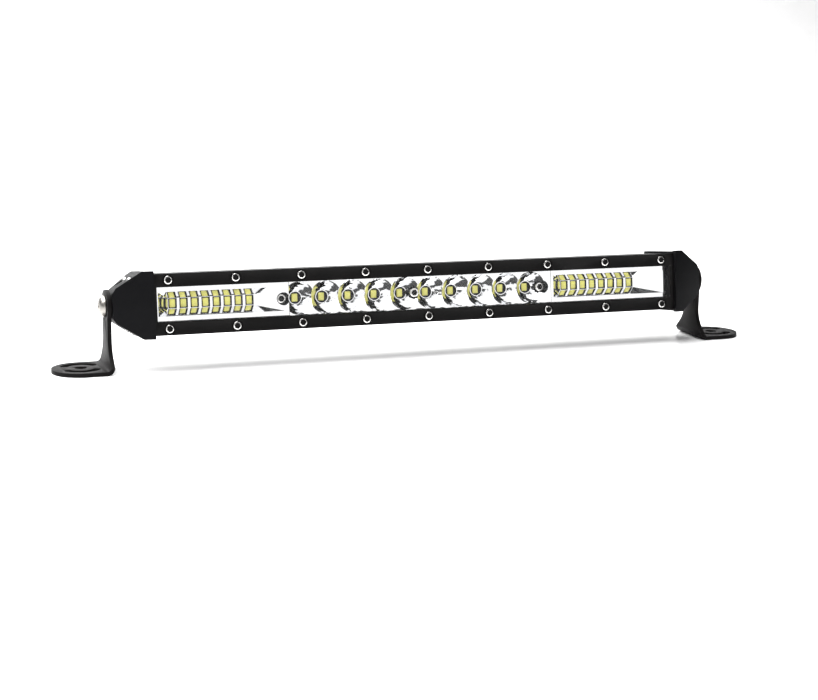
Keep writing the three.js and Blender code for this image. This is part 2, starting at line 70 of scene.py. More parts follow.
REFLECTOR_FRONT, REFLECTOR_BACK, REFLECTOR_HALF_Z = -14.2, -2.2, 12.7
BOARD_FRONT, BOARD_BACK, BOARD_HALF_Z = -1.9, -0.3, 12.4
MODULES = {                             # x range, first chip, number of chips, chip pitch
    "flood_left": (-208.2, -108.3, -193.3, 8, 8.27),
    "spot": (-108.0, 105.6, -100.4, 10, 20.95),
    "flood_right": (105.9, 208.2, 122.6, 8, 8.27),
}
CUP_MOUTH_R, CUP_THROAT_R, CUP_WELL, CUP_RING = 12.4, 4.6, 1.8, 0.5
CUP_FACETS, CUP_RINGS = 48, 12
TROUGH_FLOOR_Z, TROUGH_MOUTH_Z, TROUGH_FLOOR, TROUGH_MARGIN = 3.9, 9.3, 0.9, 1.5
CHIP_WINDOW_HALF = (3.2, 3.7)           # flood chips look through these, half width and height
REFLECTOR_SCREW_X = {"left": -112.6, "middle": -7.0, "right": 98.4}
SCREW_MOUTH_R, SCREW_HOLE_R, SCREW_HOLE_NECK, SCREW_HOLE_FLOOR = 5.3, 3.9, -9.8, -7.0
SCREW_SHANK_HOLE_R = 1.7
SPOT_CHIP = (4.6, 6.0)
FLOOD_CHIP = (4.1, 6.0)

CAP_INNER, CAP_OUTER, CAP_SHOULDER = 211, 239.0, 218.7
CAP_HALF_Z, CAP_NOSE_Z, NOSE_CHAMFER = 24.5, 11.3, 2.5
CAP_FRONT, CAP_NOSE_FRONT, CAP_BACK, CAP_NOSE_BACK = -25, -13.3, 27, 10
CAP_LIP, CAP_FLOOR, CAP_INSET = 4.5, 218.1, 1.8
POCKET_FRONT, POCKET_BACK, POCKET_HALF_Z = -17.5, 25.0, 22.6
BEZEL_POCKET_GAP, BEZEL_POCKET_BACK = 0.3, -17.2
CAP_SCREW_SEAT, CAP_SCREW_Y, CAP_SCREW_Z, CAP_SCREW_POCKET_R = 224.5, (-8, 9), 17.5, 3.5
BOLT_HOLE_R, BOLT_HOLE_END = 4.3, 224

PLATE_INNER, PLATE_OUTER, PLATE_THICKNESS, BEND_R = 239.3, 242.3, 3, 3
PLATE_HOLE_R = 4.5                      # the pivot hole and the foot's centre hole
HEAD_R, WAIST, FOOT_R, FOOT_X = 12, 9.2, 21, 260.5
FLARE_BOTTOM, FLARE_LOW, FLARE_HIGH, FLARE_TOP = 5, 9.5, 14, 26
SLOT_R, SLOT_HALF, SLOT_REACH = 13, 3, radians(52)

BEZEL_SCREW = {"head_r": 2.95, "head": 1.65, "shank_r": 1.5, "length": 10, "socket_r": 2.45,
               "domed": 0.25}
REFLECTOR_SCREW = {"head_r": 3.5, "head": 2.2, "shank_r": 1.4, "length": 9.8, "socket_r": 2.5,
                   "domed": 0.1}
CAP_SCREW = {"head_r": 2.8, "head": 2.0, "shank_r": 1.5, "length": 18, "socket_r": 1.6}


# ---- mesh helpers -------------------------------------------------------------------
def finish_mesh(bm):
    bmesh.ops.recalc_face_normals(bm, faces=bm.faces)
    return bm


def loft(rings):
    """A closed solid through rings of equally many points, with flat ends."""
    bm = bmesh.new()
    levels = [[bm.verts.new(point) for point in ring] for ring in rings]
    for low, high in zip(levels, levels[1:]):
        for i in range(len(low)):
            j = (i + 1) % len(low)
            bm.faces.new((low[i], low[j], high[j], high[i]))
    bm.faces.new(levels[0])
    bm.faces.new(levels[-1])
    return finish_mesh(bm)


def place_along(axis, point, level):
    """A 3-D point from an outline's (a, b) point and its level along the axis."""
    a, b = point
    return {"X": (level, a, b), "Y": (a, level, b), "Z": (a, b, level)}[axis]


def prism(points, axis, low, high):
    return loft([[place_along(axis, p, level) for p in points] for level in (low, high)])


def box(x0, x1, y0, y1, z0, z1):
    return prism([(x0, z0), (x1, z0), (x1, z1), (x0, z1)], "Y", y0, y1)


def revolve(profile, sides):
    """Turns (radius, y) points round the Y axis; radius 0 closes an end."""
    bm = bmesh.new()
    rings = []
    for r, y in profile:
        count = sides if r else 1
        turns = [2 * pi * i / sides for i in range(count)]
        rings.append([bm.verts.new((r * cos(t), y, r * sin(t))) for t in turns])
    for low, high in zip(rings, rings[1:]):
        for i in range(sides):
            corners = [low[i % len(low)], low[(i + 1) % len(low)],
                       high[(i + 1) % len(high)], high[i % len(high)]]
            bm.faces.new(list(dict.fromkeys(corners)))
    return finish_mesh(bm)


def rod(r, y0, y1, x=0, z=0, sides=32):
    return moved(revolve([(0, y0), (r, y0), (r, y1), (0, y1)], sides), x, 0, z)


def moved(bm, x=0, y=0, z=0):
    bmesh.ops.translate(bm, verts=bm.verts, vec=(x, y, z))
    return bm


def aimed_along_x(bm):
    """Turns a piece made along +Y so that it runs along -X, its head towards +X."""
    bmesh.ops.rotate(bm, verts=bm.verts, matrix=Matrix.Rotation(pi / 2, 3, "Z"))
    return bm


def mirrored(bm):
    bmesh.ops.scale(bm, verts=bm.verts, vec=(-1, 1, 1))
    bmesh.ops.reverse_faces(bm, faces=bm.faces)
    return bm


def joined(parts):
    bm = bmesh.new()
    for part in parts:
        mesh = bpy.data.meshes.new("part")
        part.to_mesh(mesh)
        part.free()
        bm.from_mesh(mesh)
        bpy.data.meshes.remove(mesh)
    return bm


def as_object(bm):
    mesh = bpy.data.meshes.new("work")
    bm.to_mesh(mesh)
    bm.free()
    obj = bpy.data.objects.new("work", mesh)
    bpy.context.scene.collection.objects.link(obj)
    return obj


def as_bmesh(obj):
    """The object's mesh with its modifiers applied; the object is removed."""
    evaluated = obj.evaluated_get(bpy.context.evaluated_depsgraph_get())
    bm = bmesh.new()
    bm.from_mesh(evaluated.to_mesh())
    evaluated.to_mesh_clear()
    discard(obj)
    return bm


def discard(obj):
    mesh = obj.data
    bpy.data.objects.remove(obj)
    bpy.data.meshes.remove(mesh)


def boolean(bm, tool, operation):
    target, cutter = as_object(bm), as_object(tool)
    modifier = target.modifiers.new("cut", "BOOLEAN")
    modifier.operation = operation
    modifier.solver = "EXACT"
    modifier.use_self = False
    modifier.object = cutter
    result = as_bmesh(target)
    discard(cutter)
    return result


def cut(bm, tools):
    return boolean(bm, joined(tools), "DIFFERENCE")


def softened(bm, width, segments=2, angle=30, edge_slot=-1):
    """Rounds the edges sharper than the angle; edge_slot picks the rounded strips' material."""
    bmesh.ops.remove_doubles(bm, verts=bm.verts, dist=1e-4)
    bmesh.ops.dissolve_limit(bm, angle_limit=radians(0.5), verts=bm.verts, edges=bm.edges)
    obj = as_object(bm)
    modifier = obj.modifiers.new("soften", "BEVEL")
    modifier.width = width
    modifier.segments = segments
    modifier.limit_method = "ANGLE"
    modifier.angle_limit = radians(angle)
    modifier.miter_outer = "MITER_ARC"
    modifier.material = edge_slot
    return as_bmesh(obj)


def add_piece(name, bm, placement, body, material, nodes=(), sharp=30, extra=()):
    """Places a finished mesh in the row frame as a piece that stands for the CAD nodes."""
    mesh = bpy.data.meshes.new(name)
    bm.to_mesh(mesh)
    bm.free()
    mesh.transform(placement)
    mesh.shade_smooth()
    mesh.set_sharp_from_angle(angle=radians(sharp))
    for entry in (material, *extra):
        mesh.materials.append(entry)
    obj = bpy.data.objects.new(name, mesh)
    bpy.context.scene.collection.objects.link(obj)
    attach(obj, body)
    if nodes:
        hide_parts(*nodes)
    return obj


# ---- material helpers ------------------------------------------------------------------
class Paint:
    """One Principled material and the few nodes that the materials below share."""

    def __init__(self, name, color, metallic, roughness, specular=0.5):
        self.material = bpy.data.materials.new(name)
        self.material.use_nodes = True
        self.nodes = self.material.node_tree.nodes
        self.links = self.material.node_tree.links
        self.shader = self.nodes["Principled BSDF"]
        self.shader.inputs["Metallic"].default_value = metallic
        self.shader.inputs["Roughness"].default_value = roughness
        self.shader.inputs["Base Color"].default_value = (*color, 1)
        self.shader.inputs["Specular IOR Level"].default_value = specular
        self.coords = self.nodes.new("ShaderNodeTexCoord").outputs["Object"]

    def noise(self, size_mm, detail=3, stretch=(1, 1, 1)):
        """Noise whose features are about size_mm across, longer along an axis by stretch."""
        mapping = self.nodes.new("ShaderNodeMapping")
        mapping.inputs["Scale"].default_value = [1 / (size_mm * MM * s) for s in stretch]
        self.links.new(self.coords, mapping.inputs["Vector"])
        texture = self.nodes.new("ShaderNodeTexNoise")
        texture.inputs["Scale"].default_value = 1
        texture.inputs["Detail"].default_value = detail
        self.links.new(mapping.outputs["Vector"], texture.inputs["Vector"])
        return texture.outputs["Fac"]

    def spread(self, value, low, high, start=0.3, end=0.7):
        """Maps a value from start..end to low..high."""
        node = self.nodes.new("ShaderNodeMapRange")
        node.inputs["From Min"].default_value = start
        node.inputs["From Max"].default_value = end
        node.inputs["To Min"].default_value = low
        node.inputs["To Max"].default_value = high
        self.links.new(value, node.inputs["Value"])
        return node.outputs["Result"]

    def blend(self, factor, first, second):
        """A colour between first and second by factor; either may be a colour or an output."""
        node = self.nodes.new("ShaderNodeMix")
        node.data_type = "RGBA"
        self.links.new(factor, node.inputs["Factor"])
        for socket, value in ((node.inputs[6], first), (node.inputs[7], second)):
            if isinstance(value, tuple):
                socket.default_value = (*value, 1)
            else:
                self.links.new(value, socket)
        return node.outputs[2]

    def color(self, output):
        self.links.new(output, self.shader.inputs["Base Color"])

    def roughness(self, output):
        self.links.new(output, self.shader.inputs["Roughness"])

    def bump(self, height, distance_mm, strength=1.0):
        node = self.nodes.new("ShaderNodeBump")
        node.inputs["Distance"].default_value = distance_mm * MM
        node.inputs["Strength"].default_value = strength
        self.links.new(height, node.inputs["Height"])
        self.links.new(node.outputs["Normal"], self.shader.inputs["Normal"])


def anodised_material():
    """Satin black anodising over an extrusion, with faint drawing lines along the bar."""
    paint = Paint("black_anodised", (0.008, 0.008, 0.008), 0.0, 0.42, 0.09)
    clouds = paint.noise(22, 4)
    lines = paint.noise(0.35, 2, (60, 1, 1))
    tone = paint.blend(paint.spread(clouds, 0, 1), (0.003, 0.003, 0.003), (0.006, 0.0055, 0.0055))
    paint.color(tone)
    paint.roughness(paint.spread(lines, 0.36, 0.48))
    paint.bump(lines, 0.02, 0.35)
    return paint.material


def powder_material(name, tone, roughness, specular):
    """Satin powder coat with fine orange peel; a light grey copy paints the highlight on rounded
    edges.
    """
    paint = Paint(name, tone, 0.0, roughness, specular)
    peel = paint.noise(0.9, 2)
    clouds = paint.noise(15, 3)
    light = tuple(channel * 1.35 for channel in tone)
    paint.color(paint.blend(paint.spread(clouds, 0, 1), tone, light))
    paint.roughness(paint.spread(peel, roughness - 0.05, roughness + 0.07))
    paint.bump(peel, 0.05, 0.4)
    return paint.material


def steel_material(name, tone, roughness):
    """Bright machined steel with turning marks and dull patches."""
    paint = Paint(name, tone, 1.0, roughness)
    marks = paint.noise(0.25, 3)
    patches = paint.noise(3, 3)
    dull = tuple(channel * 0.8 for channel in tone)
    paint.color(paint.blend(paint.spread(patches, 0, 1), tone, dull))
    paint.roughness(paint.spread(marks, roughness - 0.06, roughness + 0.1))
    paint.bump(marks, 0.01, 0.3)
    return paint.material


def mirror_material(name, ripple_mm, ripple_height):
    """Vacuum-aluminised plastic: a mirror with the moulding's ripple."""
    paint = Paint(name, (0.93, 0.93, 0.94), 1.0, 0.04)
    ripple = paint.noise(ripple_mm, 1)
    haze = paint.noise(12, 3)
    paint.color(paint.blend(paint.spread(haze, 0, 1), (0.95, 0.95, 0.95), (0.88, 0.885, 0.9)))
    paint.roughness(paint.spread(haze, 0.025, 0.07))
    paint.bump(ripple, ripple_height, 1.0)
    return paint.material


def lens_material():
    """Clear polycarbonate, with a light haze of handling marks."""
    paint = Paint("clear_polycarbonate", (0.5, 0.51, 0.52), 0.0, 0.04)
    haze = paint.noise(30, 5)
    paint.shader.inputs["IOR"].default_value = 1.58
    paint.links.new(paint.spread(haze, 0.02, 0.035), paint.shader.inputs["Alpha"])
    paint.roughness(paint.spread(haze, 0.03, 0.08))
    return paint.material


def phosphor_material():
    """Unlit yellow phosphor under a clear silicone dome."""
    paint = Paint("led_phosphor", (0.83, 0.74, 0.16), 0.0, 0.4)
    grain = paint.noise(0.25, 3)
    paint.color(paint.blend(paint.spread(grain, 0, 1), (0.93, 0.87, 0.13), (0.98, 0.94, 0.28)))
    paint.roughness(paint.spread(grain, 0.35, 0.5))
    paint.shader.inputs["Coat Weight"].default_value = 0.6
    paint.shader.inputs["Coat Roughness"].default_value = 0.08
    paint.bump(grain, 0.02, 0.4)
    return paint.material


def board_material():
    """Glossy black solder mask with the faint relief of the tracks under it."""
    paint = Paint("led_board_black", (0.02, 0.02, 0.02), 0.0, 0.4, 0.3)
    tracks = paint.noise(2.2, 1, (4, 1, 1))
    paint.color(paint.blend(paint.spread(tracks, 0, 1), (0.012, 0.012, 0.012), (0.03, 0.03, 0.029)))
    paint.roughness(paint.spread(tracks, 0.25, 0.4))
    paint.bump(tracks, 0.04, 0.5)
    return paint.material


def moulded_material(name, tone, roughness, grain_mm, specular=0.5):
    """Moulded plastic or rubber with a fine surface grain."""
    paint = Paint(name, tone, 0.0, roughness, specular)
    grain = paint.noise(grain_mm, 3)
    clouds = paint.noise(8, 3)
    light = tuple(min(1, channel * 1.5) for channel in tone)
    paint.color(paint.blend(paint.spread(clouds, 0, 1), tone, light))
    paint.roughness(paint.spread(grain, roughness - 0.06, roughness + 0.1))
    paint.bump(grain, 0.03, 0.5)
    return paint.material


ANODISED = anodised_material()
CAP_COAT = powder_material("black_cast_cap", (0.0025, 0.0025, 0.003), 0.48, 0.07)
PLATE_COAT = powder_material("black_powder_coat", (0.0035, 0.003, 0.003), 0.5, 0.07)
# Light grey on the rounded edge strips of bezel, caps and brackets: a painted highlight along the
# edges.
EDGE_HIGHLIGHT = powder_material("painted_edge_highlight", (0.08, 0.076, 0.072), 0.35, 0.5)
STEEL = steel_material("bright_steel", (0.82, 0.81, 0.79), 0.2)
# The same polished steel with a darkened tone: painted shade that greys the bolt's reflections.
BOLT_STEEL_SHADED = steel_material("pivot_bolt_steel_shaded", (0.36, 0.345, 0.32), 0.32)
MIRROR = mirror_material("aluminised_mirror", 3.5, 0.025)
CUP_MIRROR = mirror_material("aluminised_cups", 6.0, 0.35)
LENS = lens_material()
PHOSPHOR = phosphor_material()
BOARD = board_material()
DRIVER = moulded_material("driver_board_green", (0.02, 0.13, 0.05), 0.4, 0.6)
SILICONE = moulded_material("black_silicone", (0.02, 0.02, 0.02), 0.65, 0.4)
NYLON = moulded_material("black_nylon", (0.016, 0.016, 0.017), 0.5, 0.5)
# Near-black in the screws' hexagon sockets: painted shade inside the recess.
SOCKET_SHADE = moulded_material("painted_socket_shade", (0.006, 0.006, 0.006), 0.7, 0.3, 0.1)
# Near-black on the reflectors' straight inner walls and screw holes: painted shade in these
# recesses.
WALL_SHADE = moulded_material("painted_wall_shade", (0.008, 0.008, 0.008), 0.6, 0.4, 0.1)


# ---- bezel and its screws -------------------------------------------------------------
def screw_row_x():
    return [(i - (SCREWS_PER_ROW - 1) / 2) * SCREW_PITCH for i in range(SCREWS_PER_ROW)]


def bezel():
    plate = box(-BEZEL_HALF_X, BEZEL_HALF_X, BEZEL_FRONT, BEZEL_BACK, -BEZEL_HALF_Z, BEZEL_HALF_Z)
    window = box(-WINDOW_HALF_X, WINDOW_HALF_X, BEZEL_FRONT - 1, BEZEL_BACK + 1,
                 -WINDOW_HALF_Z, WINDOW_HALF_Z)
    step = BEZEL_FRONT + COUNTERBORE_DEPTH
    profile = [(0, BEZEL_FRONT - 1), (COUNTERBORE_R, BEZEL_FRONT - 1), (COUNTERBORE_R, step),
               (CLEARANCE_R, step), (CLEARANCE_R, BEZEL_BACK + 1), (0, BEZEL_BACK + 1)]
    holes = [moved(revolve(profile, 40), x, 0, z)
             for x in screw_row_x() for z in (SCREW_ROW_Z, -SCREW_ROW_Z)]
    return softened(cut(plate, [window, *holes]), 0.3, edge_slot=1)


def button_screw(head_r, head, shank_r, length, socket_r, domed=0.5, sides=40):
    """A domed screw along +Y whose hexagon socket is painted dark for the shade inside it; its head
    sits on y = 0.
    """
    dome = [(head_r * cos(t), -head * (1 - domed) - head * domed * sin(t) / sin(radians(50)))
            for t in [radians(a) for a in range(0, 51, 10)]]
    profile = [(0, -head), *reversed(dome), (head_r, 0), (shank_r, 0), (shank_r, length),
               (0, length)]
    screw = revolve(profile, sides)
    socket = [(socket_r * cos(i * pi / 3), socket_r * sin(i * pi / 3)) for i in range(6)]
    screw = softened(cut(screw, [prism(socket, "Y", -head - 1, -head * 0.3)]), 0.1)
    # The socket's inner faces take slot 1, the painted socket shade.
    for face in screw.faces:
        middle = face.calc_center_median()
        if -head + 0.15 < middle.y < -0.1 and hypot(middle.x, middle.z) < socket_r:
            face.material_index = 1
    return screw


def add_bezel():
    add_piece("front_bezel_plate", bezel(), BAR, "light_bar", ANODISED,
              ["front_bezel"], extra=[EDGE_HIGHLIGHT])
    seat = BEZEL_FRONT + COUNTERBORE_DEPTH - SEAT_GAP
    for row, z in (("top", SCREW_ROW_Z), ("bottom", -SCREW_ROW_Z)):
        for i, x in enumerate(screw_row_x(), 1):
            node = f"bezel_screw_{row}_{i}"
            turn = Matrix.Rotation(radians(37 * i + (20 if z > 0 else 5)), 4, "Y")
            place = BAR @ Matrix.Translation((x, seat, z)) @ turn
            add_piece(f"{node}_detail", button_screw(**BEZEL_SCREW), place, "light_bar", STEEL,
                      [node], extra=[SOCKET_SHADE])


# ---- reflectors ---------------------------------------------------------------------------
def chip_places(module):
    _, _, first, count, pitch = MODULES[module]
    return [first + i * pitch for i in range(count)]


def cup_radius(t):
    """A parabolic cup's radius, from t = 0 at the throat to 1 at the mouth."""
    throat = CUP_THROAT_R + CUP_RING
    return sqrt(throat ** 2 + (CUP_MOUTH_R ** 2 - throat ** 2) * t)


def cup_tool(x):
    """The hollow of a cup: a straight well round the chip, a flat ring, and the curved wall."""
    ring_y = REFLECTOR_BACK - CUP_WELL
    depth = ring_y - REFLECTOR_FRONT
    steps = [i / CUP_RINGS for i in range(CUP_RINGS + 1)]
    wall = [(cup_radius(t), ring_y - depth * t) for t in steps]
    profile = [(0, REFLECTOR_BACK + 1), (CUP_THROAT_R, REFLECTOR_BACK + 1), (CUP_THROAT_R, ring_y),
               *wall, (CUP_MOUTH_R, REFLECTOR_FRONT - 1), (0, REFLECTOR_FRONT - 1)]
    return moved(revolve(profile, CUP_FACETS), x)


def paint_wall_shade(shape, front):
    """Paints the straight walls behind the front level, and the screw holes, near-black: painted
    shade in these wells, windows and holes.
    """
    shape.normal_update()
    for face in shape.faces:
        middle = face.calc_center_median()
        upright = middle.y > front and abs(face.normal.y) < 0.1
        in_hole = any(all(hypot(v.co.x - x, v.co.z) < SCREW_MOUTH_R for v in face.verts)
                      for x in REFLECTOR_SCREW_X.values())
        if upright or in_hole:
            face.material_index = 1
    return shape


def screw_hole_tools(x):
    flared = [(0, REFLECTOR_FRONT - 1), (SCREW_MOUTH_R, REFLECTOR_FRONT - 1),
              (SCREW_HOLE_R, SCREW_HOLE_NECK), (SCREW_HOLE_R, SCREW_HOLE_FLOOR),
              (0, SCREW_HOLE_FLOOR)]
    shank_hole = rod(SCREW_SHANK_HOLE_R, SCREW_HOLE_FLOOR - 1, REFLECTOR_BACK + 1, x)
    return [moved(revolve(flared, 40), x), shank_hole]


def spot_reflector():
    x0, x1 = MODULES["spot"][:2]
    shape = box(x0, x1, REFLECTOR_FRONT, REFLECTOR_BACK, -REFLECTOR_HALF_Z, REFLECTOR_HALF_Z)
    for x in chip_places("spot"):
        shape = boolean(shape, cup_tool(x), "DIFFERENCE")
    for side in ("middle", "right"):
        for tool in screw_hole_tools(REFLECTOR_SCREW_X[side]):
            shape = boolean(shape, tool, "DIFFERENCE")
    return paint_wall_shade(shape, REFLECTOR_BACK - CUP_WELL)


def trough_ring(x0, x1, z, y):
    return [(x0, y, -z), (x1, y, -z), (x1, y, z), (x0, y, z)]


def flood_reflector(module, screws=()):
    x0, x1 = MODULES[module][:2]
    chips = chip_places(module)
    floor_y = REFLECTOR_BACK - TROUGH_FLOOR
    margin = FLOOD_CHIP[0] / 2 + TROUGH_MARGIN
    floor = trough_ring(chips[0] - margin, chips[-1] + margin, TROUGH_FLOOR_Z, floor_y)
    mouth = trough_ring(x0 + 1, x1 - 1, TROUGH_MOUTH_Z, REFLECTOR_FRONT - 1)
    plate = box(x0, x1, REFLECTOR_FRONT, REFLECTOR_BACK, -REFLECTOR_HALF_Z, REFLECTOR_HALF_Z)
    shape = boolean(plate, loft([floor, mouth]), "DIFFERENCE")
    wide, tall = CHIP_WINDOW_HALF
    windows = [box(x - wide, x + wide, REFLECTOR_BACK - 2, REFLECTOR_BACK + 1, -tall, tall)
               for x in chips]
    shape = boolean(shape, joined(windows), "DIFFERENCE")
    for x in screws:
        for tool in screw_hole_tools(x):
            shape = boolean(shape, tool, "DIFFERENCE")
    return paint_wall_shade(shape, floor_y)


def add_reflectors():
    shapes = {
        "spot_reflector": ("spot_reflector_cups", spot_reflector(), 25),
        "flood_reflector_left": ("flood_trough_left",
                                 flood_reflector("flood_left", [REFLECTOR_SCREW_X["left"]]), 10),
        "flood_reflector_right": ("flood_trough_right", flood_reflector("flood_right"), 10),
    }
    for node, (name, shape, sharp) in shapes.items():
        mirror = CUP_MIRROR if node == "spot_reflector" else MIRROR
        add_piece(name, shape, BAR, "light_bar", mirror, [node], sharp,
                  [WALL_SHADE])
    for side, x in REFLECTOR_SCREW_X.items():
        place = BAR @ Matrix.Translation((x, SCREW_HOLE_FLOOR - SEAT_GAP, 0))
        add_piece(f"reflector_screw_{side}_detail", button_screw(**REFLECTOR_SCREW), place,
                  "light_bar", STEEL, [f"reflector_screw_{side}"], extra=[SOCKET_SHADE])


# ---- LED boards --------------------------------------------------------------------------
def chip_dome(x, size, rise=0.7):
    """A chip's phosphor pad: a rounded rectangle that crowns towards the front."""
    rings = []
    for level, grow in ((0.0, 1.0), (0.55, 1.0), (0.85, 0.93), (1.0, 0.75)):
        y = BOARD_FRONT + 0.05 - rise * level
        rings.append([(x + px, y, pz) for px, pz in rounded_rectangle(size, 0.7, grow)])
    return loft(rings)


def rounded_rectangle(size, corner, grow=1.0, steps=4):
    width, height = (side / 2 * grow for side in size)
    points = []
    for quarter, (sx, sz) in enumerate(((1, 1), (-1, 1), (-1, -1), (1, -1))):
        cx, cz = sx * (width - corner), sz * (height - corner)
        for i in range(steps + 1):
            t = pi / 2 * (quarter + i / steps)
            points.append((cx + corner * cos(t), cz + corner * sin(t)))
    return points


def add_boards():
    sizes = {"flood_left": FLOOD_CHIP, "spot": SPOT_CHIP, "flood_right": FLOOD_CHIP}
    for module, size in sizes.items():
        x0, x1 = MODULES[module][:2]
        plate = box(x0, x1, BOARD_FRONT, BOARD_BACK, -BOARD_HALF_Z, BOARD_HALF_Z)
        node = "spot_led_board" if module == "spot" else module.replace("flood", "flood_led_board")
        add_piece(f"{node}_plate", softened(plate, 0.1), BAR, "light_bar", BOARD,
                  [node])
        chips = joined([chip_dome(x, size) for x in chip_places(module)])
        add_piece(f"{node}_chips", chips, BAR, "light_bar", PHOSPHOR)


# ---- lens ---------------------------------------------------------------------------------
def add_lens():
    sheet = box(-LENS_HALF_X, LENS_HALF_X, LENS_FRONT, LENS_BACK, -LENS_HALF_Z, LENS_HALF_Z)
    lens = softened(sheet, 0.3)
    add_piece("lens_sheet", lens, BAR, "light_bar", LENS, ["lens_cover"])


# ---- end caps -----------------------------------------------------------------------------
def cap_outline(inset):
    side, nose = CAP_HALF_Z - inset * 0.4, CAP_NOSE_Z - inset * 0.6
    upper = [(CAP_OUTER, nose - NOSE_CHAMFER),
             (CAP_OUTER - NOSE_CHAMFER, nose + NOSE_CHAMFER * 0.6),
             (CAP_SHOULDER - inset, side), (CAP_INNER, side)]
    return [(x, -z) for x, z in reversed(upper)] + upper


def cap_layer(inset, plan):
    """The part of the cap's outline that lies inside a plan, seen from above."""
    shape = prism(cap_outline(inset), "Y", CAP_FRONT - 1, CAP_BACK + 1)
    return boolean(shape, prism(plan, "Z", -CAP_HALF_Z - 1, CAP_HALF_Z + 1), "INTERSECT")


def end_cap():
    """The right-hand cap: a slanted front plate over set-back slopes, hollowed for the bar."""
    plate = cap_layer(0, [(CAP_INNER, CAP_FRONT), (CAP_OUTER, CAP_NOSE_FRONT),
                          (CAP_OUTER, CAP_NOSE_FRONT + CAP_LIP), (CAP_INNER, CAP_FRONT + CAP_LIP)])
    seam = CAP_LIP - 0.1
    body = cap_layer(CAP_INSET, [(CAP_INNER, CAP_FRONT + seam), (CAP_OUTER, CAP_NOSE_FRONT + seam),
                                 (CAP_OUTER, CAP_NOSE_BACK), (CAP_SHOULDER + 2, CAP_BACK),
                                 (CAP_INNER, CAP_BACK)])
    shape = boolean(plate, body, "UNION")
    tools = [box(CAP_INNER - 1, CAP_FLOOR, POCKET_FRONT, POCKET_BACK,
                 -POCKET_HALF_Z, POCKET_HALF_Z),
             box(CAP_INNER - 1, BEZEL_HALF_X + BEZEL_POCKET_GAP, BEZEL_FRONT - BEZEL_POCKET_GAP,
                 BEZEL_POCKET_BACK, -POCKET_HALF_Z, POCKET_HALF_Z),
             aimed_along_x(rod(BOLT_HOLE_R, -CAP_OUTER - 1, -BOLT_HOLE_END))]
    for y in CAP_SCREW_Y:
        for z in (CAP_SCREW_Z, -CAP_SCREW_Z):
            for r, x0, x1 in ((CLEARANCE_R, CAP_FLOOR - 1, CAP_SCREW_SEAT + 1),
                              (CAP_SCREW_POCKET_R, CAP_SCREW_SEAT, CAP_OUTER + 1)):
                tools.append(moved(aimed_along_x(rod(r, -x1, -x0)), 0, y, z))
    for tool in tools:
        shape = boolean(shape, tool, "DIFFERENCE")
    return softened(shape, 0.8, 3, edge_slot=1)


def cap_screw():
    """A cap screw along X, its head towards +X and seated at x = 0."""
    return aimed_along_x(button_screw(**CAP_SCREW))


# ---- pivot hardware and brackets ----------------------------------------------------------
def pivot_bolt():
    """A polished button-head bolt, its head seated just outside the bracket."""
    head_r, head, rim, socket_r, shank_r, length = 7.9, 4.4, 0.7, 3.0, 4.0, 15.4
    dome = [(head_r * cos(t), -rim - (head - rim) * sin(t) / sin(radians(66)))
            for t in [radians(a) for a in range(0, 67, 6)]]
    profile = [(0, -head), *reversed(dome), (head_r, 0), (shank_r, 0), (shank_r, length - 0.5),
               (shank_r - 0.5, length), (0, length)]
    bolt = revolve(profile, 64)
    socket = [(socket_r * cos(i * pi / 3), socket_r * sin(i * pi / 3)) for i in range(6)]
    shape = cut(bolt, [prism(socket, "Y", -head - 1, -1.5)])
    return moved(aimed_along_x(softened(shape, 0.15)), PLATE_OUTER + SEAT_GAP)


def arc(cx, cy, r, start, end, steps):
    turns = [start + (end - start) * i / steps for i in range(steps + 1)]
    return [(cx + r * cos(t), cy + r * sin(t)) for t in turns]


def bezier(p0, p1, p2, p3, steps):
    points = []
    for i in range(1, steps + 1):
        t = i / steps
        weights = ((1 - t) ** 3, 3 * t * (1 - t) ** 2, 3 * t * t * (1 - t), t ** 3)
        points.append(tuple(sum(w * p[k] for w, p in zip(weights, (p0, p1, p2, p3)))
                            for k in (0, 1)))
    return points


def leg_outline():
    """The leg seen along X, as (y, z): a round head on a waist that flares to the foot."""
    meet = acos(WAIST / HEAD_R)
    right = [(FOOT_R, 0), (FOOT_R, FLARE_BOTTOM),
             *bezier((FOOT_R, FLARE_BOTTOM), (FOOT_R - 4, FLARE_LOW), (WAIST, FLARE_HIGH),
                     (WAIST, FLARE_TOP), 16)]
    head = arc(0, PIVOT_HEIGHT, HEAD_R, -meet, pi + meet, 40)
    left = [(-y, z) for y, z in reversed(right)]
    return right + head + left


def foot_outline():
    return [(PLATE_INNER - 1, -FOOT_R), *arc(FOOT_X, 0, FOOT_R, -pi / 2, pi / 2, 40),
            (PLATE_INNER - 1, FOOT_R)]


def slot_outline(middle):
    start, end = middle - SLOT_REACH, middle + SLOT_REACH
    ends = [(FOOT_X + SLOT_R * cos(t), SLOT_R * sin(t)) for t in (start, end)]
    return (arc(FOOT_X, 0, SLOT_R + SLOT_HALF, start, end, 24)
            + arc(*ends[1], SLOT_HALF, end, end + pi, 10)[1:-1]
            + arc(FOOT_X, 0, SLOT_R - SLOT_HALF, end, start, 24)
            + arc(*ends[0], SLOT_HALF, start + pi, start + 2 * pi, 10)[1:-1])


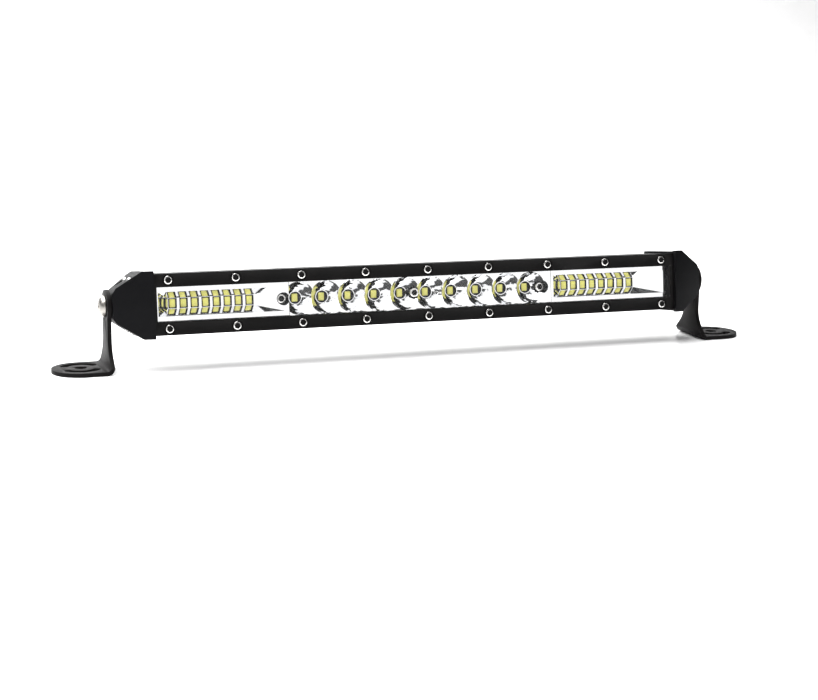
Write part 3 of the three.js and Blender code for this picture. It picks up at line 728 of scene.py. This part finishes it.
def bracket():
    """The right-hand bracket: one bent sheet with a pivot hole, a foot hole and two arc slots."""
    centre_x, centre_z = PLATE_OUTER + BEND_R, PLATE_THICKNESS + BEND_R
    top, toe = PIVOT_HEIGHT + HEAD_R + 1, FOOT_X + FOOT_R + 1
    section = [(PLATE_INNER, top), *arc(centre_x, centre_z, centre_z, pi, 1.5 * pi, 14), (toe, 0),
               (toe, PLATE_THICKNESS), *arc(centre_x, centre_z, BEND_R, 1.5 * pi, pi, 14),
               (PLATE_OUTER, top)]
    sheet = prism(section, "Y", -FOOT_R - 1, FOOT_R + 1)
    leg = prism(leg_outline(), "X", PLATE_INNER - 2, toe + 1)
    foot = prism(foot_outline(), "Z", -1, top + 1)
    shape = boolean(boolean(sheet, leg, "INTERSECT"), foot, "INTERSECT")
    foot_hole = arc(FOOT_X, 0, PLATE_HOLE_R, 0, 2 * pi, 40)[:-1]
    pivot_hole = arc(0, PIVOT_HEIGHT, PLATE_HOLE_R, 0, 2 * pi, 40)[:-1]
    above_foot = PLATE_THICKNESS + 5
    holes = [prism(outline, "Z", -1, above_foot)
             for outline in (foot_hole, slot_outline(pi / 2), slot_outline(-pi / 2))]
    holes.append(prism(pivot_hole, "X", PLATE_INNER - 2, PLATE_OUTER + 2))
    return softened(cut(shape, holes), 0.3, edge_slot=1)


def add_ends():
    for side, turn in (("left", mirrored), ("right", lambda bm: bm)):
        sign = -1 if side == "left" else 1
        add_piece(f"{side}_cap_casting", turn(end_cap()), BAR, "light_bar", CAP_COAT,
                  [f"{side}_end_cap"], extra=[EDGE_HIGHLIGHT])
        places = [(y, z) for y in CAP_SCREW_Y for z in (CAP_SCREW_Z, -CAP_SCREW_Z)]
        for i, (y, z) in enumerate(places, 1):
            node = f"{side}_cap_screw_{i}"
            place = BAR @ Matrix.Translation((sign * (CAP_SCREW_SEAT + SEAT_GAP), y, z))
            add_piece(f"{node}_detail", turn(cap_screw()), place, "light_bar", STEEL,
                      [node], extra=[SOCKET_SHADE])
        add_piece(f"{side}_bolt", turn(pivot_bolt()), BAR, "light_bar", BOLT_STEEL_SHADED,
                  [f"{side}_pivot_bolt"])
        add_piece(f"{side}_bracket_sheet", turn(bracket()), STAND, f"{side}_foot", PLATE_COAT,
                  [f"{side}_bracket"], extra=[EDGE_HIGHLIGHT])


# ---- carried-over CAD nodes ----------------------------------------------------------------
def paint_frame():
    finishes = {
        "housing": ANODISED, "lens_gasket": SILICONE, "left_end_gasket": SILICONE,
        "right_end_gasket": SILICONE, "driver_board": DRIVER, "cable_gland_body": NYLON,
        "cable_gland_nut": NYLON, "cable_gland_plug": SILICONE, "breather_vent": NYLON,
    }
    for node, material in finishes.items():
        mesh = frame["nodes"][node].data
        mesh.materials.clear()
        mesh.materials.append(material)


# ---- stage: camera, floor, light -----------------------------------------------------------
CAMERA_AT = Vector((-0.474, -1.214 + PIVOT.y, 0.216 + PIVOT.z))
CAMERA_YAW, CAMERA_PITCH, CAMERA_ROLL = radians(21.04), radians(-11.36), radians(0.97)
CAMERA_LENS, CAMERA_SENSOR = 75.5, 36   # millimetres


def add_camera():
    camera = bpy.data.objects.new("camera", bpy.data.cameras.new("camera"))
    camera.data.sensor_width = CAMERA_SENSOR
    camera.data.lens = CAMERA_LENS
    bpy.context.scene.collection.objects.link(camera)
    turn = (Matrix.Rotation(-CAMERA_YAW, 4, "Z") @ Matrix.Rotation(pi / 2 + CAMERA_PITCH, 4, "X")
            @ Matrix.Rotation(CAMERA_ROLL, 4, "Z"))
    camera.matrix_world = Matrix.Translation(CAMERA_AT) @ turn
    bpy.context.scene.camera = camera


def floor_material():
    paint = Paint("studio_floor", (0.9, 0.9, 0.9), 0.0, 0.15, 0.35)
    grain = paint.noise(60, 3)
    paint.color(paint.blend(paint.spread(grain, 0, 1), (0.9, 0.9, 0.9), (0.92, 0.92, 0.92)))
    paint.roughness(paint.spread(grain, 0.12, 0.18))
    return paint.material


def add_floor():
    """A pale sheet under the part that curves up behind it."""
    radius, reach, depth, top = 1.2, 6.0, 5.0, 4.0
    profile = [(-reach, 0)]
    profile += [(depth + radius * sin(t), radius - radius * cos(t))
                for t in [pi / 2 * i / 16 for i in range(17)]]
    profile += [(depth + radius, top)]
    bm = bmesh.new()
    rows = [[bm.verts.new((x, y, z)) for y, z in profile] for x in (-reach, reach)]
    for i in range(len(profile) - 1):
        bm.faces.new((rows[0][i], rows[1][i], rows[1][i + 1], rows[0][i + 1]))
    mesh = bpy.data.meshes.new("studio_floor")
    bm.to_mesh(mesh)
    bm.free()
    mesh.shade_smooth()
    mesh.materials.append(floor_material())
    obj = bpy.data.objects.new("studio_floor", mesh)
    bpy.context.scene.collection.objects.link(obj)


def add_light(name, at, size, power, target=(0, 0, 0.04)):
    data = bpy.data.lights.new(name, "AREA")
    data.shape = "RECTANGLE"
    data.size, data.size_y = size
    data.energy = power
    light = bpy.data.objects.new(name, data)
    bpy.context.scene.collection.objects.link(light)
    light.location = at
    light.rotation_euler = (Vector(target) - Vector(at)).to_track_quat("-Z", "Y").to_euler()


def add_lights():
    world = bpy.data.worlds.new("studio")
    world.use_nodes = True
    world.node_tree.nodes["Background"].inputs["Color"].default_value = (1, 1, 1, 1)
    world.node_tree.nodes["Background"].inputs["Strength"].default_value = 0.08
    bpy.context.scene.world = world
    add_light("overhead", (-0.7, 0.3, 1.8), (2.6, 3.0), 190)
    add_light("front_left", (-0.95, -1.6, 0.45), (1.15, 0.9), 4.2)
    add_light("front_right", (0.63, -1.5, 0.45), (1.15, 0.9), 4.0)
    add_light("backdrop_wash", (0, 3.4, 3.2), (7.0, 3.0), 400, (0, 4.2, 0))
    bpy.context.scene.view_settings.view_transform = "Standard"


add_camera()
add_floor()
add_lights()
paint_frame()
add_bezel()
add_lens()
add_reflectors()
add_boards()
add_ends()
